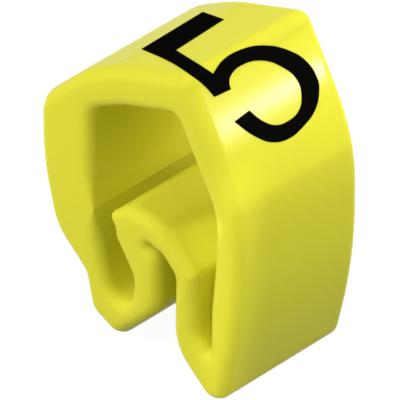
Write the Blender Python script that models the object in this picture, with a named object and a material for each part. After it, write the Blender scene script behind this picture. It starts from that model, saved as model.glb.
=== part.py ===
# A slip-on marker for one conductor: a short length of closed plastic section that is threaded over
# the wire and grips it between a two-faced roof and a folded spring tongue.
# The wire lies along Y through the origin. X is across the marker and Z is up, with the ridge on top.
# Reaches are measured from the wire's centre to the left or right, drops are measured below it.
import math

import bmesh
import bpy
from mathutils import Vector

MM = 0.001

# Sizes that belong to the whole marker.
MARKER_LENGTH = 3.00 * MM
WIRE_DIAMETER = 2.20 * MM
END_ROUND = 0.24 * MM

# Roof: two faces that meet in a ridge, both touching the seated wire from above.
ROOF_PITCH = math.radians(20.3)
FACET_PITCH = math.radians(60.0)
ROOF_WALL = 0.78 * MM
FACET_WALL = 0.72 * MM
RIDGE_ROUND = 0.28 * MM
RIDGE_ROUND_INSIDE = 0.16 * MM
ROOF_BEND_REACH = 0.90 * MM
ROOF_BEND_ROUND = 4.00 * MM
ROOF_BEND_REACH_INSIDE = 0.745 * MM
ROOF_BEND_ROUND_INSIDE = 3.00 * MM

# Right wall, from the roof down to the pointed foot.
RIGHT_REACH = 2.00 * MM
RIGHT_WALL = 0.61 * MM
RIGHT_WALL_THICKENING = 0.12 * MM
RIGHT_THICKENING_DROP = 1.05 * MM
RIGHT_BEND_DROP = 2.30 * MM
RIGHT_BEND_ROUND = 10.0 * MM
RIGHT_BEND_ROUND_INSIDE = 3.00 * MM
RIGHT_SHOULDER_ROUND = 3.60 * MM
RIGHT_SHOULDER_ROUND_INSIDE = 1.20 * MM

# Left wall, with its sloping shoulder and its waist above the fold.
LEFT_REACH = 2.80 * MM
LEFT_WALL = 1.25 * MM
LEFT_BEND_DROP = 1.17 * MM
LEFT_BEND_ROUND = 6.00 * MM
SHOULDER_RISE = 0.12 * MM
SHOULDER_RUN = 1.05 * MM
SHOULDER_ROUND = 0.80 * MM
SHOULDER_TOP_ROUND = 1.70 * MM
CAVITY_SHOULDER_RISE = 0.45 * MM
CAVITY_SHOULDER_ROUND = 0.45 * MM
WAIST_REACH = 2.48 * MM
WAIST_DROP = 2.44 * MM
WAIST_ROUND = 1.00 * MM

# Lip along the inside of the left wall, level with the tongue's nose.
LIP_DROP = 1.58 * MM
LIP_HEIGHT = 0.10 * MM
LIP_RAMP = 0.45 * MM
LIP_RAMP_ROUND = 0.60 * MM
LIP_STEP = 0.02 * MM
LIP_ROUND = 0.03 * MM

# Fold at the foot of the left wall, with the pocket inside it.
FOLD_NECK_REACH = 1.76 * MM
FOLD_NECK_DROP = 3.05 * MM
FOLD_NECK_ROUND = 0.30 * MM
FOLD_SIDE_REACH = 1.60 * MM
FOLD_SIDE_DROP = 3.77 * MM
FOLD_SIDE_ROUND = 0.34 * MM
FOLD_TOE_REACH = 0.94 * MM
FOLD_DROP = 4.07 * MM
FOLD_TOE_ROUND = 0.32 * MM
FOLD_HEEL_DROP = 3.01 * MM
FOLD_HEEL_ROUND = 0.70 * MM
FOLD_POCKET_DROP = 3.24 * MM
FOLD_POCKET_LEFT = 1.10 * MM
FOLD_POCKET_RIGHT = 0.66 * MM
FOLD_POCKET_ROUND = 0.26 * MM
FOLD_BELLY_REACH = 0.57 * MM
FOLD_BELLY_DROP = 2.57 * MM
FOLD_BELLY_ROUND = 0.50 * MM
FOLD_BEND_REACH = 1.27 * MM
FOLD_BEND_DROP = 2.82 * MM
FOLD_BEND_ROUND = 0.80 * MM
FOLD_MOUTH_REACH = 1.46 * MM
FOLD_MOUTH_DROP = 1.88 * MM
FOLD_MOUTH_ROUND = 1.00 * MM

# Slot between the fold and the spring leg, open below.
SLOT_LEFT = 0.06 * MM
SLOT_WIDTH = 0.36 * MM
SLOT_TOP_DROP = 1.76 * MM
SLOT_TOP_SLOPE = 0.26 * MM
SLOT_TOP_ROUND = 0.22 * MM
SLOT_TIP_REACH = 0.27 * MM
SLOT_TIP_DROP = 1.675 * MM
SLOT_TIP_ROUND = 0.025 * MM
SLOT_THROAT_LEFT = 0.045 * MM
SLOT_THROAT_DROP = 1.88 * MM
SLOT_THROAT_ROUND = 0.30 * MM

# Spring tongue that presses the wire into the roof.
TONGUE_TOP_LEFT = 0.68 * MM
TONGUE_TOP_RIGHT = 0.11 * MM
TONGUE_TOP_ROUND = 0.70 * MM
TONGUE_TIP_ROUND = 0.40 * MM
TONGUE_HEEL_DROP = 1.76 * MM
TONGUE_HEEL_ROUND = 0.18 * MM
NOSE_REACH = 1.08 * MM
NOSE_DROP = 1.46 * MM
NOSE_DEPTH = 0.25 * MM
NOSE_ROUND = 0.12 * MM
NOSE_ROUND_BELOW = 0.15 * MM
TONGUE_ROOT_REACH = 1.01 * MM
TONGUE_ROOT_DROP = 1.95 * MM
TONGUE_ROOT_ROUND = 0.50 * MM

# Spring leg and the pointed foot below it, with the pocket between the leg and the right wall.
LEG_WALL = 0.55 * MM
LEG_DROP = 3.50 * MM
LEG_LEAN = 0.04 * MM
LEG_ROUND = 0.95 * MM
FOOT_REACH = 1.52 * MM
FOOT_DROP = 4.44 * MM
FOOT_ROUND = 0.32 * MM
POCKET_DROP = 3.32 * MM
POCKET_TIP_ROUND = 0.06 * MM
POCKET_SIDE_DROP = 2.99 * MM
POCKET_ROUND = 0.30 * MM

# Fineness of the curves: the widest step, how far a chord may lie from its arc, and the spacing of
# the stops on straight sides.
ARC_STEP = math.radians(9.0)
ARC_SAGITTA = 0.0015 * MM
LONG_SIDE = 0.30 * MM
STRAIGHT = math.radians(0.5)
SIDE_SHARE = 0.48

# How the rounding of the end edges is stepped, and how it gives way in thin and tight places.
END_STEPS = 6
END_ROUND_SHARE = 0.90
END_ROUND_TAPER = 0.35


def line_off_wire(pitch, distance):
    """A line that climbs to the right by pitch and passes this far above the wire's centre."""
    return Vector((-math.sin(pitch), math.cos(pitch))), distance


def upright(x):
    """An upright line at x."""
    return Vector((1.0, 0.0)), x


def crossing(first, second):
    """The point where two lines, each a normal and a distance, cross."""
    (a, d), (b, e) = first, second
    span = a.x * b.y - a.y * b.x
    return Vector(((d * b.y - e * a.y) / span, (a.x * e - b.x * d) / span))


def rounded_loop(corners):
    """The points of a closed outline whose corners, each a point and a radius, are turned into arcs."""
    points = []
    for index, (corner, radius) in enumerate(corners):
        before = corners[index - 1][0]
        after = corners[(index + 1) % len(corners)][0]
        arriving = (corner - before).normalized()
        leaving = (after - corner).normalized()
        turn = arriving.angle_signed(leaving)
        if abs(turn) < STRAIGHT:
            continue
        room = SIDE_SHARE * min((corner - before).length, (after - corner).length)
        reach = min(radius * math.tan(abs(turn) / 2.0), room)
        start = corner - arriving * reach
        end = corner + leaving * reach
        steps = math.ceil(abs(turn) / arc_step(reach / math.tan(abs(turn) / 2.0)))
        points += [arc_point(start, corner, end, turn, step / steps) for step in range(steps + 1)]
    return with_stops(points)


def with_stops(points):
    """The same closed outline, with stops set along each side that is long."""
    stopped = []
    for point, after in zip(points, points[1:] + points[:1]):
        parts = math.ceil((after - point).length / LONG_SIDE)
        stopped += [point.lerp(after, part / parts) for part in range(parts)]
    return stopped


def arc_step(radius):
    """The angle between two points of an arc: small enough for the chord to lie close to the arc."""
    return min(ARC_STEP, 2.0 * math.acos(1.0 - ARC_SAGITTA / radius))


def arc_point(start, corner, end, turn, share):
    """A point of the arc that leaves start and reaches end, turning about the corner between them."""
    half = abs(turn) / 2.0
    radius = (start - corner).length / math.tan(half)
    inward = ((start + end) / 2.0 - corner).normalized()
    centre = corner + inward * radius / math.cos(half)
    angle = turn * (share - 0.5)
    spoke = -inward * radius
    return centre + Vector((
        spoke.x * math.cos(angle) + spoke.y * math.sin(angle),
        -spoke.x * math.sin(angle) + spoke.y * math.cos(angle),
    ))


def outer_corners():
    """Corners of the outside, clockwise from the left shoulder, with the slot taken in."""
    roof = line_off_wire(ROOF_PITCH, WIRE_DIAMETER / 2.0 + ROOF_WALL)
    facet = line_off_wire(-FACET_PITCH, WIRE_DIAMETER / 2.0 + FACET_WALL)
    slot_right = SLOT_LEFT + SLOT_WIDTH
    return [
        (Vector((-LEFT_REACH, SHOULDER_RISE)), SHOULDER_ROUND),
        (Vector((SHOULDER_RUN - LEFT_REACH, SHOULDER_RISE + SHOULDER_RUN)), SHOULDER_TOP_ROUND),
        (crossing(roof, upright(-ROOF_BEND_REACH)), ROOF_BEND_ROUND),
        (crossing(roof, facet), RIDGE_ROUND),
        (crossing(facet, upright(RIGHT_REACH)), RIGHT_SHOULDER_ROUND),
        (Vector((RIGHT_REACH, -RIGHT_BEND_DROP)), RIGHT_BEND_ROUND),
        (Vector((FOOT_REACH, -FOOT_DROP)), FOOT_ROUND),
        (Vector((slot_right - LEG_LEAN, -LEG_DROP)), LEG_ROUND),
        (Vector((slot_right, -SLOT_TOP_DROP - SLOT_TOP_SLOPE)), SLOT_TOP_ROUND),
        (Vector((slot_right - SLOT_TOP_SLOPE, -SLOT_TOP_DROP)), SLOT_TOP_ROUND),
        (Vector((-SLOT_TIP_REACH, -SLOT_TIP_DROP)), SLOT_TIP_ROUND),
        (Vector((SLOT_THROAT_LEFT, -SLOT_THROAT_DROP)), SLOT_THROAT_ROUND),
        (Vector((SLOT_LEFT, -FOLD_HEEL_DROP)), FOLD_HEEL_ROUND),
        (Vector((-FOLD_TOE_REACH, -FOLD_DROP)), FOLD_TOE_ROUND),
        (Vector((-FOLD_SIDE_REACH, -FOLD_SIDE_DROP)), FOLD_SIDE_ROUND),
        (Vector((-FOLD_NECK_REACH, -FOLD_NECK_DROP)), FOLD_NECK_ROUND),
        (Vector((-WAIST_REACH, -WAIST_DROP)), WAIST_ROUND),
        (Vector((-LEFT_REACH, -LEFT_BEND_DROP)), LEFT_BEND_ROUND),
    ]


def roof_corners_inside():
    """Corners of the passage under the roof, from the left wall to the right wall's thickening."""
    roof = line_off_wire(ROOF_PITCH, WIRE_DIAMETER / 2.0)
    facet = line_off_wire(-FACET_PITCH, WIRE_DIAMETER / 2.0)
    right = RIGHT_REACH - RIGHT_WALL
    return [
        (Vector((LEFT_WALL - LEFT_REACH, CAVITY_SHOULDER_RISE)), CAVITY_SHOULDER_ROUND),
        (crossing(roof, upright(-ROOF_BEND_REACH_INSIDE)), ROOF_BEND_ROUND_INSIDE),
        (crossing(roof, facet), RIDGE_ROUND_INSIDE),
        (crossing(facet, upright(right)), RIGHT_SHOULDER_ROUND_INSIDE),
        (Vector((right, -RIGHT_THICKENING_DROP)), RIGHT_BEND_ROUND_INSIDE),
    ]


def foot_pocket_corners():
    """Corners of the pocket between the right wall and the spring leg."""
    right = RIGHT_REACH - RIGHT_WALL - RIGHT_WALL_THICKENING
    leg = SLOT_LEFT + SLOT_WIDTH + LEG_WALL
    return [
        (Vector((right, -RIGHT_BEND_DROP)), RIGHT_BEND_ROUND_INSIDE),
        (Vector((right, -POCKET_DROP)), POCKET_TIP_ROUND),
        (Vector((leg, -POCKET_SIDE_DROP)), POCKET_ROUND),
    ]


def tongue_corners():
    """Corners of the spring tongue, from its heel over the top and round the nose to its root."""
    leg = SLOT_LEFT + SLOT_WIDTH + LEG_WALL
    return [
        (Vector((leg, -TONGUE_HEEL_DROP)), TONGUE_HEEL_ROUND),
        (Vector((TONGUE_TOP_RIGHT, -WIRE_DIAMETER / 2.0)), TONGUE_TOP_ROUND),
        (Vector((-TONGUE_TOP_LEFT, -WIRE_DIAMETER / 2.0)), TONGUE_TIP_ROUND),
        (Vector((-NOSE_REACH, -NOSE_DROP)), NOSE_ROUND),
        (Vector((-TONGUE_ROOT_REACH, -NOSE_DROP - NOSE_DEPTH)), NOSE_ROUND_BELOW),
        (Vector((-TONGUE_ROOT_REACH, -TONGUE_ROOT_DROP)), TONGUE_ROOT_ROUND),
    ]


def fold_pocket_corners():
    """Corners of the pocket inside the fold."""
    return [
        (Vector((-FOLD_BELLY_REACH, -FOLD_BELLY_DROP)), FOLD_BELLY_ROUND),
        (Vector((-FOLD_POCKET_RIGHT, -FOLD_POCKET_DROP)), FOLD_POCKET_ROUND),
        (Vector((-FOLD_POCKET_LEFT, -FOLD_POCKET_DROP)), FOLD_POCKET_ROUND),
        (Vector((-FOLD_BEND_REACH, -FOLD_BEND_DROP)), FOLD_BEND_ROUND),
        (Vector((-FOLD_MOUTH_REACH, -FOLD_MOUTH_DROP)), FOLD_MOUTH_ROUND),
    ]


def lip_corners():
    """Corners of the lip on the left wall, from below it to the top of its ramp."""
    wall = LEFT_WALL - LEFT_REACH
    return [
        (Vector((wall + LIP_HEIGHT - LIP_STEP, -LIP_DROP - LIP_STEP)), LIP_ROUND),
        (Vector((wall + LIP_HEIGHT, -LIP_DROP)), LIP_ROUND),
        (Vector((wall, LIP_RAMP - LIP_DROP)), LIP_RAMP_ROUND),
    ]


def cavity_corners():
    """Corners of the wire passage, clockwise from the upper left, with both pockets."""
    return (roof_corners_inside() + foot_pocket_corners() + tongue_corners()
            + fold_pocket_corners() + lip_corners())


def outward_normals(points, side):
    """Unit normals of a closed outline that point out of the material."""
    normals = []
    for index, point in enumerate(points):
        along = (points[(index + 1) % len(points)] - point).normalized()
        along += (point - points[index - 1]).normalized()
        along.normalize()
        normals.append(Vector((-along.y, along.x)) * side)
    return normals


def end_rounds(loops, normals):
    """How far the end edge may be rounded at each point: less where the section is thin or tight."""
    every = [point for loop in loops for point in loop]
    rounds = []
    for loop, outward in zip(loops, normals):
        for point, normal in zip(loop, outward):
            room = END_ROUND
            for other in every:
                away = point - other
                if away.dot(normal) > 0.0:
                    inscribed = away.length_squared / (2.0 * away.dot(normal))
                    room = min(room, END_ROUND_SHARE * inscribed)
            rounds.append(room)
    return [
        [min(size + END_ROUND_TAPER * (point - other).length for size, other in zip(rounds, every))
         for point in loop]
        for loop in loops
    ]


def section_walls(mesh, points, normals, rounds):
    """Lofts one outline from the front end to the back end, with both end edges rounded."""
    quarter = [math.pi / 2.0 * step / END_STEPS for step in range(END_STEPS + 1)]
    stations = [(angle, -1.0) for angle in reversed(quarter)] + [(angle, 1.0) for angle in quarter]

    def place(station, index):
        angle, side = station
        spot = points[index] - normals[index] * rounds[index] * (1.0 - math.cos(angle))
        reach = MARKER_LENGTH / 2.0 - rounds[index] * (1.0 - math.sin(angle))
        return Vector((spot.x, side * reach, spot.y))

    count = len(points)
    ring = [mesh.verts.new(place(stations[0], index)) for index in range(count)]
    edges = [mesh.edges.new((ring[index], ring[(index + 1) % count])) for index in range(count)]
    front = list(edges)
    for station in stations[1:]:
        grown = bmesh.ops.extrude_edge_only(mesh, edges=edges)["geom"]
        edges = [item for item in grown if isinstance(item, bmesh.types.BMEdge)]
        fresh = {item for item in grown if isinstance(item, bmesh.types.BMVert)}
        ring = [next(link.other_vert(vertex) for link in vertex.link_edges
                     if link.other_vert(vertex) in fresh) for vertex in ring]
        for index, vertex in enumerate(ring):
            vertex.co = place(station, index)
    return front, edges


def marker_material():
    """Bright yellow soft plastic with a satin sheen."""
    material = bpy.data.materials.new("yellow_soft_plastic")
    material.use_nodes = True
    shader = material.node_tree.nodes["Principled BSDF"]
    shader.inputs["Base Color"].default_value = (0.83, 0.80, 0.035, 1.0)
    shader.inputs["Roughness"].default_value = 0.38
    shader.inputs["Metallic"].default_value = 0.0
    return material


def build_marker(collection):
    """The whole marker: one moulded solid."""
    loops = [rounded_loop(outer_corners()), rounded_loop(cavity_corners())]
    normals = [outward_normals(loops[0], 1.0), outward_normals(loops[1], -1.0)]
    mesh = bmesh.new()
    fronts = []
    backs = []
    for points, outward, rounds in zip(loops, normals, end_rounds(loops, normals)):
        front, back = section_walls(mesh, points, outward, rounds)
        fronts += front
        backs += back
    for rim in (fronts, backs):
        bmesh.ops.triangle_fill(mesh, edges=rim, use_beauty=True)
    bmesh.ops.recalc_face_normals(mesh, faces=mesh.faces)
    data = bpy.data.meshes.new("marker_body")
    mesh.to_mesh(data)
    mesh.free()
    data.shade_smooth()
    data.materials.append(marker_material())
    collection.objects.link(bpy.data.objects.new("marker_body", data))


def main():
    for item in list(bpy.data.objects):
        bpy.data.objects.remove(item, do_unlink=True)
    collection = bpy.data.collections.new("cable_marker")
    bpy.context.scene.collection.children.link(collection)
    build_marker(collection)


main()
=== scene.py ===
# %% [markdown]
# A slip-on cable marker
#
# The object is one small piece of soft yellow plastic, 3 mm long, that is threaded over a wire.
# Its section is one closed wall: a two-faced roof, a thin right wall that ends in a pointed foot,
# a spring leg, a tongue that presses the wire up, a fold and a thick left wall.
# The solid comes ready from the frame, so this lesson is about what makes it look real: smooth
# shading on a welded copy, a moulded plastic that is never quite even, a digit printed over the
# ridge, and a small photo studio.

# %% Load the frame
import math

import bpy
from mathutils import Matrix, Vector


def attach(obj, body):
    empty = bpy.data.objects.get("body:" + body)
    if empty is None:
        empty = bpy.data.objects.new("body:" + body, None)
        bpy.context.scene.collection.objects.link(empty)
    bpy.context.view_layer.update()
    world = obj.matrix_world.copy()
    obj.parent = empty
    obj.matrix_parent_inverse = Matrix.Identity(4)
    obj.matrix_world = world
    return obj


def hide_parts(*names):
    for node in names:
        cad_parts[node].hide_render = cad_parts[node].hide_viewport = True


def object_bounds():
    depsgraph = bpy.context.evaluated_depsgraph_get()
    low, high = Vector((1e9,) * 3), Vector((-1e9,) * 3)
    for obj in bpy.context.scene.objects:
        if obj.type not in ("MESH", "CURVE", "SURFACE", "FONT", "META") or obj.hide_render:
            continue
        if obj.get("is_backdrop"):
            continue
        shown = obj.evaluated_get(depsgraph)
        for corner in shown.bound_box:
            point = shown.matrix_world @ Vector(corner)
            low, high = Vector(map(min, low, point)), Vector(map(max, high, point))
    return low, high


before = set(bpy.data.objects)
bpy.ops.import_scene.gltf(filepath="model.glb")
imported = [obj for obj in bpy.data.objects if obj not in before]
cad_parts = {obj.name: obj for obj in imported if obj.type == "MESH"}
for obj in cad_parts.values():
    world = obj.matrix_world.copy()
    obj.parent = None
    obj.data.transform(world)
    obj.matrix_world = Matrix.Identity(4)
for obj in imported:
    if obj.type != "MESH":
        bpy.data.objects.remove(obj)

MM = 0.001
cad_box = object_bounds()
print("marker, mm:", [round((high - low) / MM, 2) for low, high in zip(*cad_box)])

# %% [markdown]
# Operators act on all that is selected, and the frame comes in selected. So each step first
# deselects everything and picks its own piece. These helpers do that, apply a modifier as the
# Apply button would, and print what a piece has come to.

# %% Helpers for working as by hand
def pick(piece):
    """Makes this piece the only one selected, and the active one."""
    bpy.ops.object.select_all(action="DESELECT")
    piece.select_set(True)
    bpy.context.view_layer.objects.active = piece


def edit(piece):
    """Opens a piece in edit mode with all of its mesh selected."""
    pick(piece)
    bpy.ops.object.mode_set(mode="EDIT")
    bpy.ops.mesh.select_all(action="SELECT")


def leave_edit():
    """Goes back to object mode."""
    bpy.ops.object.mode_set(mode="OBJECT")


def apply_modifier(piece, kind, **settings):
    """Adds a modifier with these settings and applies it."""
    pick(piece)
    modifier = piece.modifiers.new(kind.title(), kind)
    for name, value in settings.items():
        setattr(modifier, name, value)
    bpy.ops.object.modifier_apply(modifier=modifier.name)


def tell(piece):
    """Prints a piece's size in millimetres and its faces."""
    size = [round(side / MM, 3) for side in piece.dimensions]
    print(piece.name, "mm:", size, len(piece.data.polygons), "faces")


# %% [markdown]
# The marker's body is moulded in one go, and the frame's solid already has its true walls.
# Its mesh is loose triangles, each with its own corners, which would shade as facets.
# A copy is welded, and its triangles are paired into long faces along the wire. Weighted normals
# then let the large flat faces rule: the ends and walls shade flat, and the light rolls only over
# the rounded edges. Smoothing alone would spread a false gradient over the flat ends.

# %% The moulded body
WELD = 0.0005 * MM
FLAT_PAIR = math.radians(1.0)
ANY_SHAPE = math.radians(180.0)
ALL_TO_THE_LARGEST = 100

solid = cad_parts["marker_body"]
body = bpy.data.objects.new("moulded_body", solid.data.copy())
bpy.context.scene.collection.objects.link(body)
edit(body)
bpy.ops.mesh.customdata_custom_splitnormals_clear()
bpy.ops.mesh.remove_doubles(threshold=WELD)
bpy.ops.mesh.tris_convert_to_quads(face_threshold=FLAT_PAIR, shape_threshold=ANY_SHAPE)
leave_edit()
bpy.ops.object.shade_smooth()
apply_modifier(body, "WEIGHTED_NORMAL", mode="FACE_AREA", weight=ALL_TO_THE_LARGEST)
tell(body)

# %% [markdown]
# The digit is printed with a soft pad that comes down on the corner of the roof from the front
# right and lays the ink on both roof faces in one stroke. So the digit is drawn flat, on the
# pad's own plane, and then thrown along the pad's stroke onto the plastic. That is why it looks
# stretched when the roof is seen from above, and as it was drawn when seen along the stroke.

# %% The printing pad's plane
PAD_AZIMUTH = math.radians(44.9)
PAD_ELEVATION = math.radians(36.2)

stroke = Vector((
    math.sin(PAD_AZIMUTH) * math.cos(PAD_ELEVATION),
    -math.cos(PAD_AZIMUTH) * math.cos(PAD_ELEVATION),
    math.sin(PAD_ELEVATION),
))
pad_right = Vector((math.cos(PAD_AZIMUTH), math.sin(PAD_AZIMUTH), 0.0))
pad_up = stroke.cross(pad_right)
pad_turn = Matrix((pad_right, pad_up, stroke)).transposed().to_4x4()
print("the stroke comes from", [round(part, 3) for part in stroke])

# %% [markdown]
# A text object would be quicker, but it takes its strokes from a font, and printing plates for
# markers have strokes of their own. So the outline is one closed Bezier curve. Corners have
# straight handles, and the bowl's points have automatic ones, which run a smooth curve through
# them. Positions are millimetres on the pad, right of and above the stroke that meets the centre
# of the wire.

# %% The digit's outline
BAR_OUTER_CORNER = (-1.251, 1.429)
BAR_END_TOP = (-0.217, 2.076)
BAR_END_TIP = (0.141, 1.933)
STEM_INNER_CORNER = (-0.668, 1.400)
STEM_NOTCH = (-0.048, 0.991)
BOWL_OUTSIDE = [
    (0.103, 1.206), (0.405, 1.394), (0.789, 1.476), (1.215, 1.404), (1.521, 1.223), (1.718, 0.922),
    (1.742, 0.703), (1.674, 0.399), (1.480, 0.128), (1.215, -0.093), (0.939, -0.150), (0.657, -0.054),
]
TAIL_OUTER_CORNER = (0.307, 0.191)
TAIL_INNER_CORNER = (0.559, 0.381)
BOWL_INSIDE = [
    (0.788, 0.207), (1.003, 0.141), (1.215, 0.210), (1.393, 0.380), (1.444, 0.616), (1.368, 0.901),
    (1.130, 1.107), (0.789, 1.219), (0.439, 1.142), (0.254, 0.972), (0.225, 0.821),
]
STEM_END_RIGHT = (0.252, 0.733)
STEM_END_TIP = (-0.026, 0.601)
STEM_SIDE = [(-0.198, 0.792), (-0.451, 0.984), (-0.708, 1.163)]

CORNER = "VECTOR"
SMOOTH = "AUTO"
STEPS_PER_POINT = 8
outline = [(BAR_OUTER_CORNER, CORNER), (BAR_END_TOP, CORNER), (BAR_END_TIP, CORNER),
           (STEM_INNER_CORNER, CORNER), (STEM_NOTCH, CORNER)]
outline += [(spot, SMOOTH) for spot in BOWL_OUTSIDE]
outline += [(TAIL_OUTER_CORNER, CORNER), (TAIL_INNER_CORNER, CORNER)]
outline += [(spot, SMOOTH) for spot in BOWL_INSIDE]
outline += [(STEM_END_RIGHT, CORNER), (STEM_END_TIP, CORNER)]
outline += [(spot, SMOOTH) for spot in STEM_SIDE]

drawing = bpy.data.curves.new("printed_digit", "CURVE")
drawing.dimensions = "2D"
drawing.fill_mode = "BOTH"
drawing.resolution_u = STEPS_PER_POINT
spline = drawing.splines.new("BEZIER")
spline.use_cyclic_u = True
spline.bezier_points.add(len(outline) - 1)
for point, (spot, handle) in zip(spline.bezier_points, outline):
    point.co = Vector((spot[0], spot[1], 0.0)) * MM
    point.handle_left_type = handle
    point.handle_right_type = handle
digit = bpy.data.objects.new("printed_digit", drawing)
bpy.context.scene.collection.objects.link(digit)
pick(digit)
bpy.ops.object.convert(target="MESH")
tell(digit)

# %% [markdown]
# A flat sheet with corners only on its outline would cut straight through the ridge. So it is cut
# into a fine grid with bisect first, and each small face can then follow the roof. Bisect counts
# the corners within its threshold as lying on the cut already. That is 0.1 mm unless it is set,
# which is two squares of this grid, so it is set far smaller.

# %% Cut the sheet into a grid
GRID = 0.05 * MM
CUT_SNAP = WELD * 0.1
ACROSS = Vector((1.0, 0.0, 0.0))
UPWARDS = Vector((0.0, 1.0, 0.0))

low = Vector([min(corner.co[axis] for corner in digit.data.vertices) for axis in range(3)])
high = Vector([max(corner.co[axis] for corner in digit.data.vertices) for axis in range(3)])
edit(digit)
for axis, normal in enumerate((ACROSS, UPWARDS)):
    for cut in range(1, math.ceil((high[axis] - low[axis]) / GRID)):
        bpy.ops.mesh.select_all(action="SELECT")
        bpy.ops.mesh.bisect(plane_co=low + normal * cut * GRID, plane_no=normal, threshold=CUT_SNAP)
bpy.ops.mesh.select_all(action="SELECT")
bpy.ops.mesh.remove_doubles(threshold=WELD)
leave_edit()
tell(digit)

# %% [markdown]
# A picture on the roof would show the digit as well, but it would blur from near and have no
# edge. So the ink is a thin film with a true shape. The sheet is lifted off along the stroke,
# thrown back onto the body with Shrinkwrap along its own Z, and given the thickness of a coat of
# ink. The ink's underside is sunk a little into the plastic, so no light gets in under its edge.

# %% Print it on the roof
LIFT = 4.0 * MM
INK_THICKNESS = 0.012 * MM
INK_SUNK = 0.004 * MM
SHARP_FROM = math.radians(40.0)

digit.matrix_world = Matrix.Translation(stroke * LIFT) @ pad_turn
apply_modifier(digit, "SHRINKWRAP", target=body, wrap_method="PROJECT", use_project_z=True,
               use_negative_direction=True, use_positive_direction=False)
pick(digit)
bpy.ops.object.transform_apply(location=True, rotation=True, scale=True)
for face in digit.data.polygons:
    if face.normal.dot(stroke) < 0.0:
        face.flip()
ink_share = INK_SUNK / INK_THICKNESS
apply_modifier(digit, "SOLIDIFY", thickness=INK_THICKNESS, offset=1.0 - 2.0 * ink_share)
bpy.ops.object.shade_smooth_by_angle(angle=SHARP_FROM)
tell(digit)

# %% [markdown]
# Materials are built from a few small helpers, each of which adds one node and links it. All
# patterns read the piece's own object coordinates, so their sizes are real sizes in metres.

# %% Materials from small helpers
def new_material(name):
    """A node material with its shader, its tree and its object coordinates."""
    material = bpy.data.materials.new(name)
    material.use_nodes = True
    tree = material.node_tree
    place = tree.nodes.new("ShaderNodeTexCoord").outputs["Object"]
    return material, tree, tree.nodes["Principled BSDF"], place


def noise(tree, place, size, detail=3.0):
    """Noise whose spots are about this big, in metres."""
    node = tree.nodes.new("ShaderNodeTexNoise")
    node.inputs["Scale"].default_value = 1.0 / size
    node.inputs["Detail"].default_value = detail
    tree.links.new(place, node.inputs["Vector"])
    return node.outputs["Fac"]


def spread(tree, value, low, high):
    """A value from 0 to 1 spread over another range."""
    node = tree.nodes.new("ShaderNodeMapRange")
    node.inputs["To Min"].default_value = low
    node.inputs["To Max"].default_value = high
    tree.links.new(value, node.inputs["Value"])
    return node.outputs["Result"]


def relief(tree, heights, distance, below=None):
    """Bump of this height in metres, on top of another bump."""
    node = tree.nodes.new("ShaderNodeBump")
    node.inputs["Distance"].default_value = distance
    tree.links.new(heights, node.inputs["Height"])
    if below is not None:
        tree.links.new(below, node.inputs["Normal"])
    return node.outputs["Normal"]


def blend(tree, share, first, second):
    """A colour between two, by a share."""
    node = tree.nodes.new("ShaderNodeMix")
    node.data_type = "RGBA"
    node.inputs["A"].default_value = (*first, 1.0)
    node.inputs["B"].default_value = (*second, 1.0)
    tree.links.new(share, node.inputs["Factor"])
    return node.outputs["Result"]


# %% [markdown]
# Soft plastic is coloured all through. Light goes in a little way and comes out again, which
# softens the shade where an edge turns. Its skin is a copy of the mould's: satin, with a grain
# finer than a micrometre and broad waves a few micrometres high, from cooling, that only gloss
# shows. The colour also drifts by a percent or two, as pigment does. The gloss is set low, because
# the white studio all round would else lie as a haze over each face that is seen at a low angle.

# %% Yellow soft plastic
YELLOW = (0.80, 0.768, 0.049)
YELLOW_DEEP = (0.78, 0.748, 0.045)
GRAIN = 0.05 * MM
GRAIN_HEIGHT = 0.0002 * MM
WAVES = 1.4 * MM
WAVES_HEIGHT = 0.003 * MM
SATIN = (0.22, 0.28)
LOW_GLOSS = 0.03
SHARE_INSIDE = 0.25
REACH_INSIDE = 0.12 * MM
TINT_INSIDE = (1.0, 0.9, 0.15)

plastic, tree, shader, place = new_material("yellow_soft_plastic")
pigment = noise(tree, place, WAVES)
tree.links.new(blend(tree, pigment, YELLOW, YELLOW_DEEP), shader.inputs["Base Color"])
tree.links.new(spread(tree, noise(tree, place, GRAIN), *SATIN), shader.inputs["Roughness"])
waves = relief(tree, noise(tree, place, WAVES, detail=1.0), WAVES_HEIGHT)
tree.links.new(relief(tree, noise(tree, place, GRAIN), GRAIN_HEIGHT, below=waves), shader.inputs["Normal"])
shader.inputs["Specular IOR Level"].default_value = LOW_GLOSS
shader.inputs["Subsurface Weight"].default_value = SHARE_INSIDE
shader.inputs["Subsurface Radius"].default_value = TINT_INSIDE
shader.inputs["Subsurface Scale"].default_value = REACH_INSIDE
body.data.materials.clear()
body.data.materials.append(plastic)
print(plastic.name, "on", body.name)

# %% [markdown]
# Ink for plastic dries to a thin matt coat. It is hardly ever quite black: where it is thinnest it
# is a trace paler. It gets no gloss at all, so the white studio doesn't turn it grey.

# %% Black printing ink
INK = (0.002, 0.002, 0.002)
INK_THIN = (0.004, 0.004, 0.003)
MATT = (0.5, 0.65)
NO_GLOSS = 0.0

ink, tree, shader, place = new_material("black_printing_ink")
tree.links.new(blend(tree, noise(tree, place, GRAIN), INK, INK_THIN), shader.inputs["Base Color"])
tree.links.new(spread(tree, noise(tree, place, GRAIN), *MATT), shader.inputs["Roughness"])
tree.links.new(relief(tree, noise(tree, place, GRAIN), GRAIN_HEIGHT), shader.inputs["Normal"])
shader.inputs["Specular IOR Level"].default_value = NO_GLOSS
digit.data.materials.clear()
digit.data.materials.append(ink)
print(ink.name, "on", digit.name)

# %% [markdown]
# Both pieces belong to the one body, and the moulded body stands for the frame's solid.

# %% Tie the pieces to the frame
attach(body, "root")
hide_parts("marker_body")
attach(digit, "root")
print("on the body root:", body.name, "and", digit.name)

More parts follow.
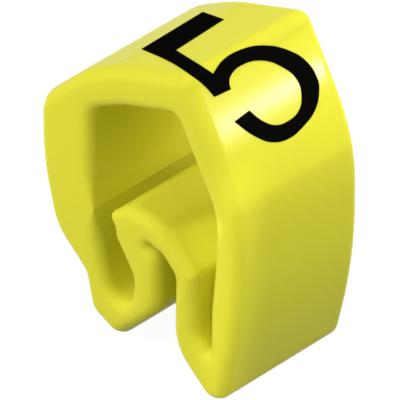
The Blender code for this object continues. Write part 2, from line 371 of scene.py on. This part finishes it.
# %% [markdown]
# The camera stands where the pad's stroke came from, so the digit looks as it was drawn. It stands
# far off with a long lens, and the edges along the wire run almost parallel. It looks at the middle
# of the marker as it sees it, which lies a little left of the wire's centre and below it.

# %% The camera
VIEW_DISTANCE = 140.0 * MM
AIM_RIGHT = -0.2646 * MM
AIM_UP = -1.118 * MM
PICTURE_PIXELS = 400.0
PIXELS_PER_MM = 58.92
PICTURE_WIDTH = PICTURE_PIXELS / PIXELS_PER_MM * MM
CLIP_NEAR = 5.0 * MM
CLIP_FAR = 10.0

aim = pad_right * AIM_RIGHT + pad_up * AIM_UP
lens = bpy.data.cameras.new("camera")
lens.lens = lens.sensor_width * VIEW_DISTANCE / PICTURE_WIDTH
lens.clip_start = CLIP_NEAR
lens.clip_end = CLIP_FAR
camera = bpy.data.objects.new("camera", lens)
camera.location = aim + stroke * VIEW_DISTANCE
camera.rotation_euler = stroke.to_track_quat("Z", "Y").to_euler()
bpy.context.scene.collection.objects.link(camera)
bpy.context.scene.camera = camera
print("lens, mm:", round(lens.lens), "for a picture this wide, mm:", round(PICTURE_WIDTH / MM, 2))

# %% [markdown]
# The studio is a ring of soft light: broad boxes at the front, the left, the right and the back,
# and two that hang nearer over the right side. Point lamps or a sun would light the marker too,
# but small bright sources leave hard shadows, and satin plastic would mirror them as dots.

# %% Softboxes
UP = Vector((0.0, 0.0, 1.0))


def softbox(name, direction, distance, width, height, power, target=Vector(), along=None):
    """An area light this far from its target, with its width level or along a given line."""
    light = bpy.data.lights.new(name, "AREA")
    light.shape = "RECTANGLE"
    light.size = width
    light.size_y = height
    light.energy = power
    towards = Vector(direction).normalized()
    upright = towards.cross(along or UP.cross(towards)).normalized()
    turn = Matrix((upright.cross(towards), upright, towards)).transposed().to_4x4()
    lamp = bpy.data.objects.new(name, light)
    lamp.matrix_world = Matrix.Translation(target + towards * distance) @ turn
    bpy.context.scene.collection.objects.link(lamp)
    return lamp


BOX = 50.0 * MM
FAR = 60.0 * MM
NEAR_BOX = 16.0 * MM
NEAR = 20.0 * MM
# Each has its name, direction, distance, side and power in watts.
RING = [
    ("front_softbox", (0.0, -1.0, 0.2), FAR, BOX, 0.0180),
    ("front_left_softbox", (-0.5, -0.6, 0.6), FAR, BOX, 0.0166),
    ("low_left_softbox", (-0.5, -0.85, 0.15), FAR, BOX, 0.0075),
    ("right_softbox", (1.0, 0.0, 0.3), FAR, BOX, 0.0044),
    ("right_back_softbox", (0.6, 0.5, 0.6), NEAR, NEAR_BOX, 0.0025),
    ("right_top_softbox", (0.6, 0.0, 0.8), NEAR, NEAR_BOX, 0.0005),
    ("back_softbox", (0.0, 0.82, 0.57), FAR, BOX, 0.0124),
]
for name, direction, distance, side, watts in RING:
    softbox(name, direction, distance, side, side, watts)
print(len(RING), "softboxes, together this many watts:", round(sum(lamp[-1] for lamp in RING), 4))

# %% [markdown]
# Four more lamps stand close and have a narrow beam, as a softbox behind a honeycomb grid has, so
# each can light one surface and leave its neighbours alone. A narrower beam holds the same power,
# so each lamp needs very little of it.

# %% Softboxes behind a honeycomb grid
def narrow_softbox(name, lit_from, distance, length, width, power, beam, target, along):
    """A softbox whose light leaves in this narrow beam."""
    lamp = softbox(name, lit_from, distance, length, width, power, target=target, along=along)
    lamp.data.spread = beam
    spot = [round(part / MM, 2) for part in lamp.matrix_world.translation]
    print(name, "at, mm:", spot, "beam, degrees:", round(math.degrees(beam)))
    return lamp


# %% [markdown]
# The first lights the roof's right slope, and its light ends in a clear edge where the slope turns
# into the wall.

# %% A lamp for the right slope
ALONG_WIRE = Vector((0.0, 1.0, 0.0))
SLOPE_SPOT = Vector((1.322, -0.20, 0.99)) * MM
SLOPE_FACING = (0.867, 0.0, 0.498)
SLOPE_DISTANCE = 2.5 * MM
SLOPE_LENGTH = 3.2 * MM
SLOPE_WIDTH = 2.2 * MM
SLOPE_POWER = 0.0000033
SLOPE_BEAM = math.radians(8.0)

narrow_softbox("slope_softbox", SLOPE_FACING, SLOPE_DISTANCE, SLOPE_LENGTH, SLOPE_WIDTH,
               SLOPE_POWER, SLOPE_BEAM, target=SLOPE_SPOT, along=ALONG_WIRE)

# %% [markdown]
# The second runs down the right wall's front edge. The edge's rounding faces none of the big boxes
# squarely and would be darker than both of the faces that it joins.

# %% A lamp for the front edge
EDGE_SPOT = Vector((1.79, -1.44, -1.75)) * MM
EDGE_FACING = (0.75, -0.66, 0.0)
DOWN_THE_EDGE = Vector((0.10, 0.0, 0.995))
EDGE_DISTANCE = 2.5 * MM
EDGE_LENGTH = 4.9 * MM
EDGE_WIDTH = 0.8 * MM
EDGE_POWER = 0.0000023
EDGE_BEAM = math.radians(14.0)

narrow_softbox("edge_softbox", EDGE_FACING, EDGE_DISTANCE, EDGE_LENGTH, EDGE_WIDTH,
               EDGE_POWER, EDGE_BEAM, target=EDGE_SPOT, along=DOWN_THE_EDGE)

# %% [markdown]
# The third reaches in through the open end, to the tongue's slope down to its heel, where little
# of the big boxes' light arrives.

# %% A lamp for the tongue
TONGUE_SPOT = Vector((0.74, -0.30, -1.58)) * MM
TONGUE_LIT_FROM = (0.15, -0.80, 0.58)
TONGUE_SLOPE = Vector((0.78, 0.0, -0.63))
TONGUE_DISTANCE = 3.0 * MM
TONGUE_LENGTH = 0.8 * MM
TONGUE_WIDTH = 1.2 * MM
TONGUE_POWER = 0.0000014
TONGUE_BEAM = math.radians(10.0)

narrow_softbox("tongue_softbox", TONGUE_LIT_FROM, TONGUE_DISTANCE, TONGUE_LENGTH, TONGUE_WIDTH,
               TONGUE_POWER, TONGUE_BEAM, target=TONGUE_SPOT, along=TONGUE_SLOPE)

# %% [markdown]
# The last is a thin strip that the right slope mirrors to the camera, as the pale band that
# crosses the digit. A flat face shows a band no wider than the lamp is, so the strip is almost as
# long as the marker. It gives gloss and no other light, and so brightens nothing round the band.

# %% A strip for the slope to mirror
BAND_SPOT = Vector((1.112, 0.0, 1.355)) * MM
BAND_MIRROR = (0.797, 0.572, 0.195)
BAND_DISTANCE = 2.2 * MM
STRIP_LENGTH = 2.7 * MM
STRIP_WIDTH = 0.20 * MM
STRIP_POWER = 0.0001
STRIP_BEAM = math.radians(80.0)

strip = narrow_softbox("strip_softbox", BAND_MIRROR, BAND_DISTANCE, STRIP_LENGTH, STRIP_WIDTH,
                       STRIP_POWER, STRIP_BEAM, target=BAND_SPOT, along=ALONG_WIRE)
strip.visible_diffuse = False

# %% [markdown]
# Light that the eye never sees directly may be as plain as wanted. So the world fills evenly, and
# only rays that look at it, straight or mirrored, find it white.

# %% The world
FILL = 0.15
WHITE = (1.0, 1.0, 1.0, 1.0)


def seen_directly(tree):
    """One where the camera looks at a surface, straight or by reflection or through glass."""
    rays = tree.nodes.new("ShaderNodeLightPath")
    share = rays.outputs["Is Camera Ray"]
    for kind in ("Is Glossy Ray", "Is Transmission Ray"):
        larger = tree.nodes.new("ShaderNodeMath")
        larger.operation = "MAXIMUM"
        tree.links.new(share, larger.inputs[0])
        tree.links.new(rays.outputs[kind], larger.inputs[1])
        share = larger.outputs["Value"]
    return share


world = bpy.data.worlds.new("studio")
world.use_nodes = True
tree = world.node_tree
fill = tree.nodes["Background"]
fill.inputs["Color"].default_value = WHITE
fill.inputs["Strength"].default_value = FILL
seen = tree.nodes.new("ShaderNodeBackground")
seen.inputs["Color"].default_value = WHITE
choice = tree.nodes.new("ShaderNodeMixShader")
tree.links.new(seen_directly(tree), choice.inputs["Fac"])
tree.links.new(fill.outputs["Background"], choice.inputs[1])
tree.links.new(seen.outputs["Background"], choice.inputs[2])
tree.links.new(choice.outputs["Shader"], tree.nodes["World Output"].inputs["Surface"])
bpy.context.scene.world = world
print("the world fills with", FILL, "and is seen as", seen.inputs["Strength"].default_value)

# %% [markdown]
# The floor lies just below the foot. It is matt paper that throws a little light up, and it glows
# faintly where it is looked at, which makes it white and keeps only a trace of the shadow.

# %% The floor
FLOOR_DROP = 4.2 * MM
FLOOR_SIZE = 4.0
PAPER = 0.2
PAPER_ROUGHNESS = 0.9
PAPER_GLOW = 0.93

bpy.ops.object.select_all(action="DESELECT")
bpy.ops.mesh.primitive_plane_add(size=FLOOR_SIZE, location=(0.0, 0.0, -FLOOR_DROP))
floor = bpy.context.object
floor.name = "floor"
paper, tree, shader, place = new_material("white_paper")
shader.inputs["Base Color"].default_value = (PAPER, PAPER, PAPER, 1.0)
shader.inputs["Roughness"].default_value = PAPER_ROUGHNESS
shader.inputs["Specular IOR Level"].default_value = NO_GLOSS
glow = tree.nodes.new("ShaderNodeEmission")
share = tree.nodes.new("ShaderNodeMath")
share.operation = "MULTIPLY"
share.inputs[1].default_value = PAPER_GLOW
tree.links.new(seen_directly(tree), share.inputs[0])
tree.links.new(share.outputs["Value"], glow.inputs["Strength"])
both = tree.nodes.new("ShaderNodeAddShader")
tree.links.new(shader.outputs["BSDF"], both.inputs[0])
tree.links.new(glow.outputs["Emission"], both.inputs[1])
tree.links.new(both.outputs["Shader"], tree.nodes["Material Output"].inputs["Surface"])
floor.data.materials.append(paper)
floor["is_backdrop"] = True
print(floor.name, "below the foot, mm:", round((cad_box[0][2] + FLOOR_DROP) / MM, 2))

# %% [markdown]
# The view transform Standard shows each colour as it is written. The one that Blender starts with
# would turn the white paper grey and the yellow dull.

# %% Colours as written
bpy.context.scene.view_settings.view_transform = "Standard"
print("view transform:", bpy.context.scene.view_settings.view_transform)

# %% [markdown]
# The dressed marker is measured as the bare solid was. Only the ink may stand out, by its
# thickness less what is sunk.

# %% Check the size and finish
dressed_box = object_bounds()
proud = max(new - old for new, old in zip(dressed_box[1], cad_box[1]))
print("past the solid's box, mm:", round(proud / MM, 4), "of", round((INK_THICKNESS - INK_SUNK) / MM, 4))
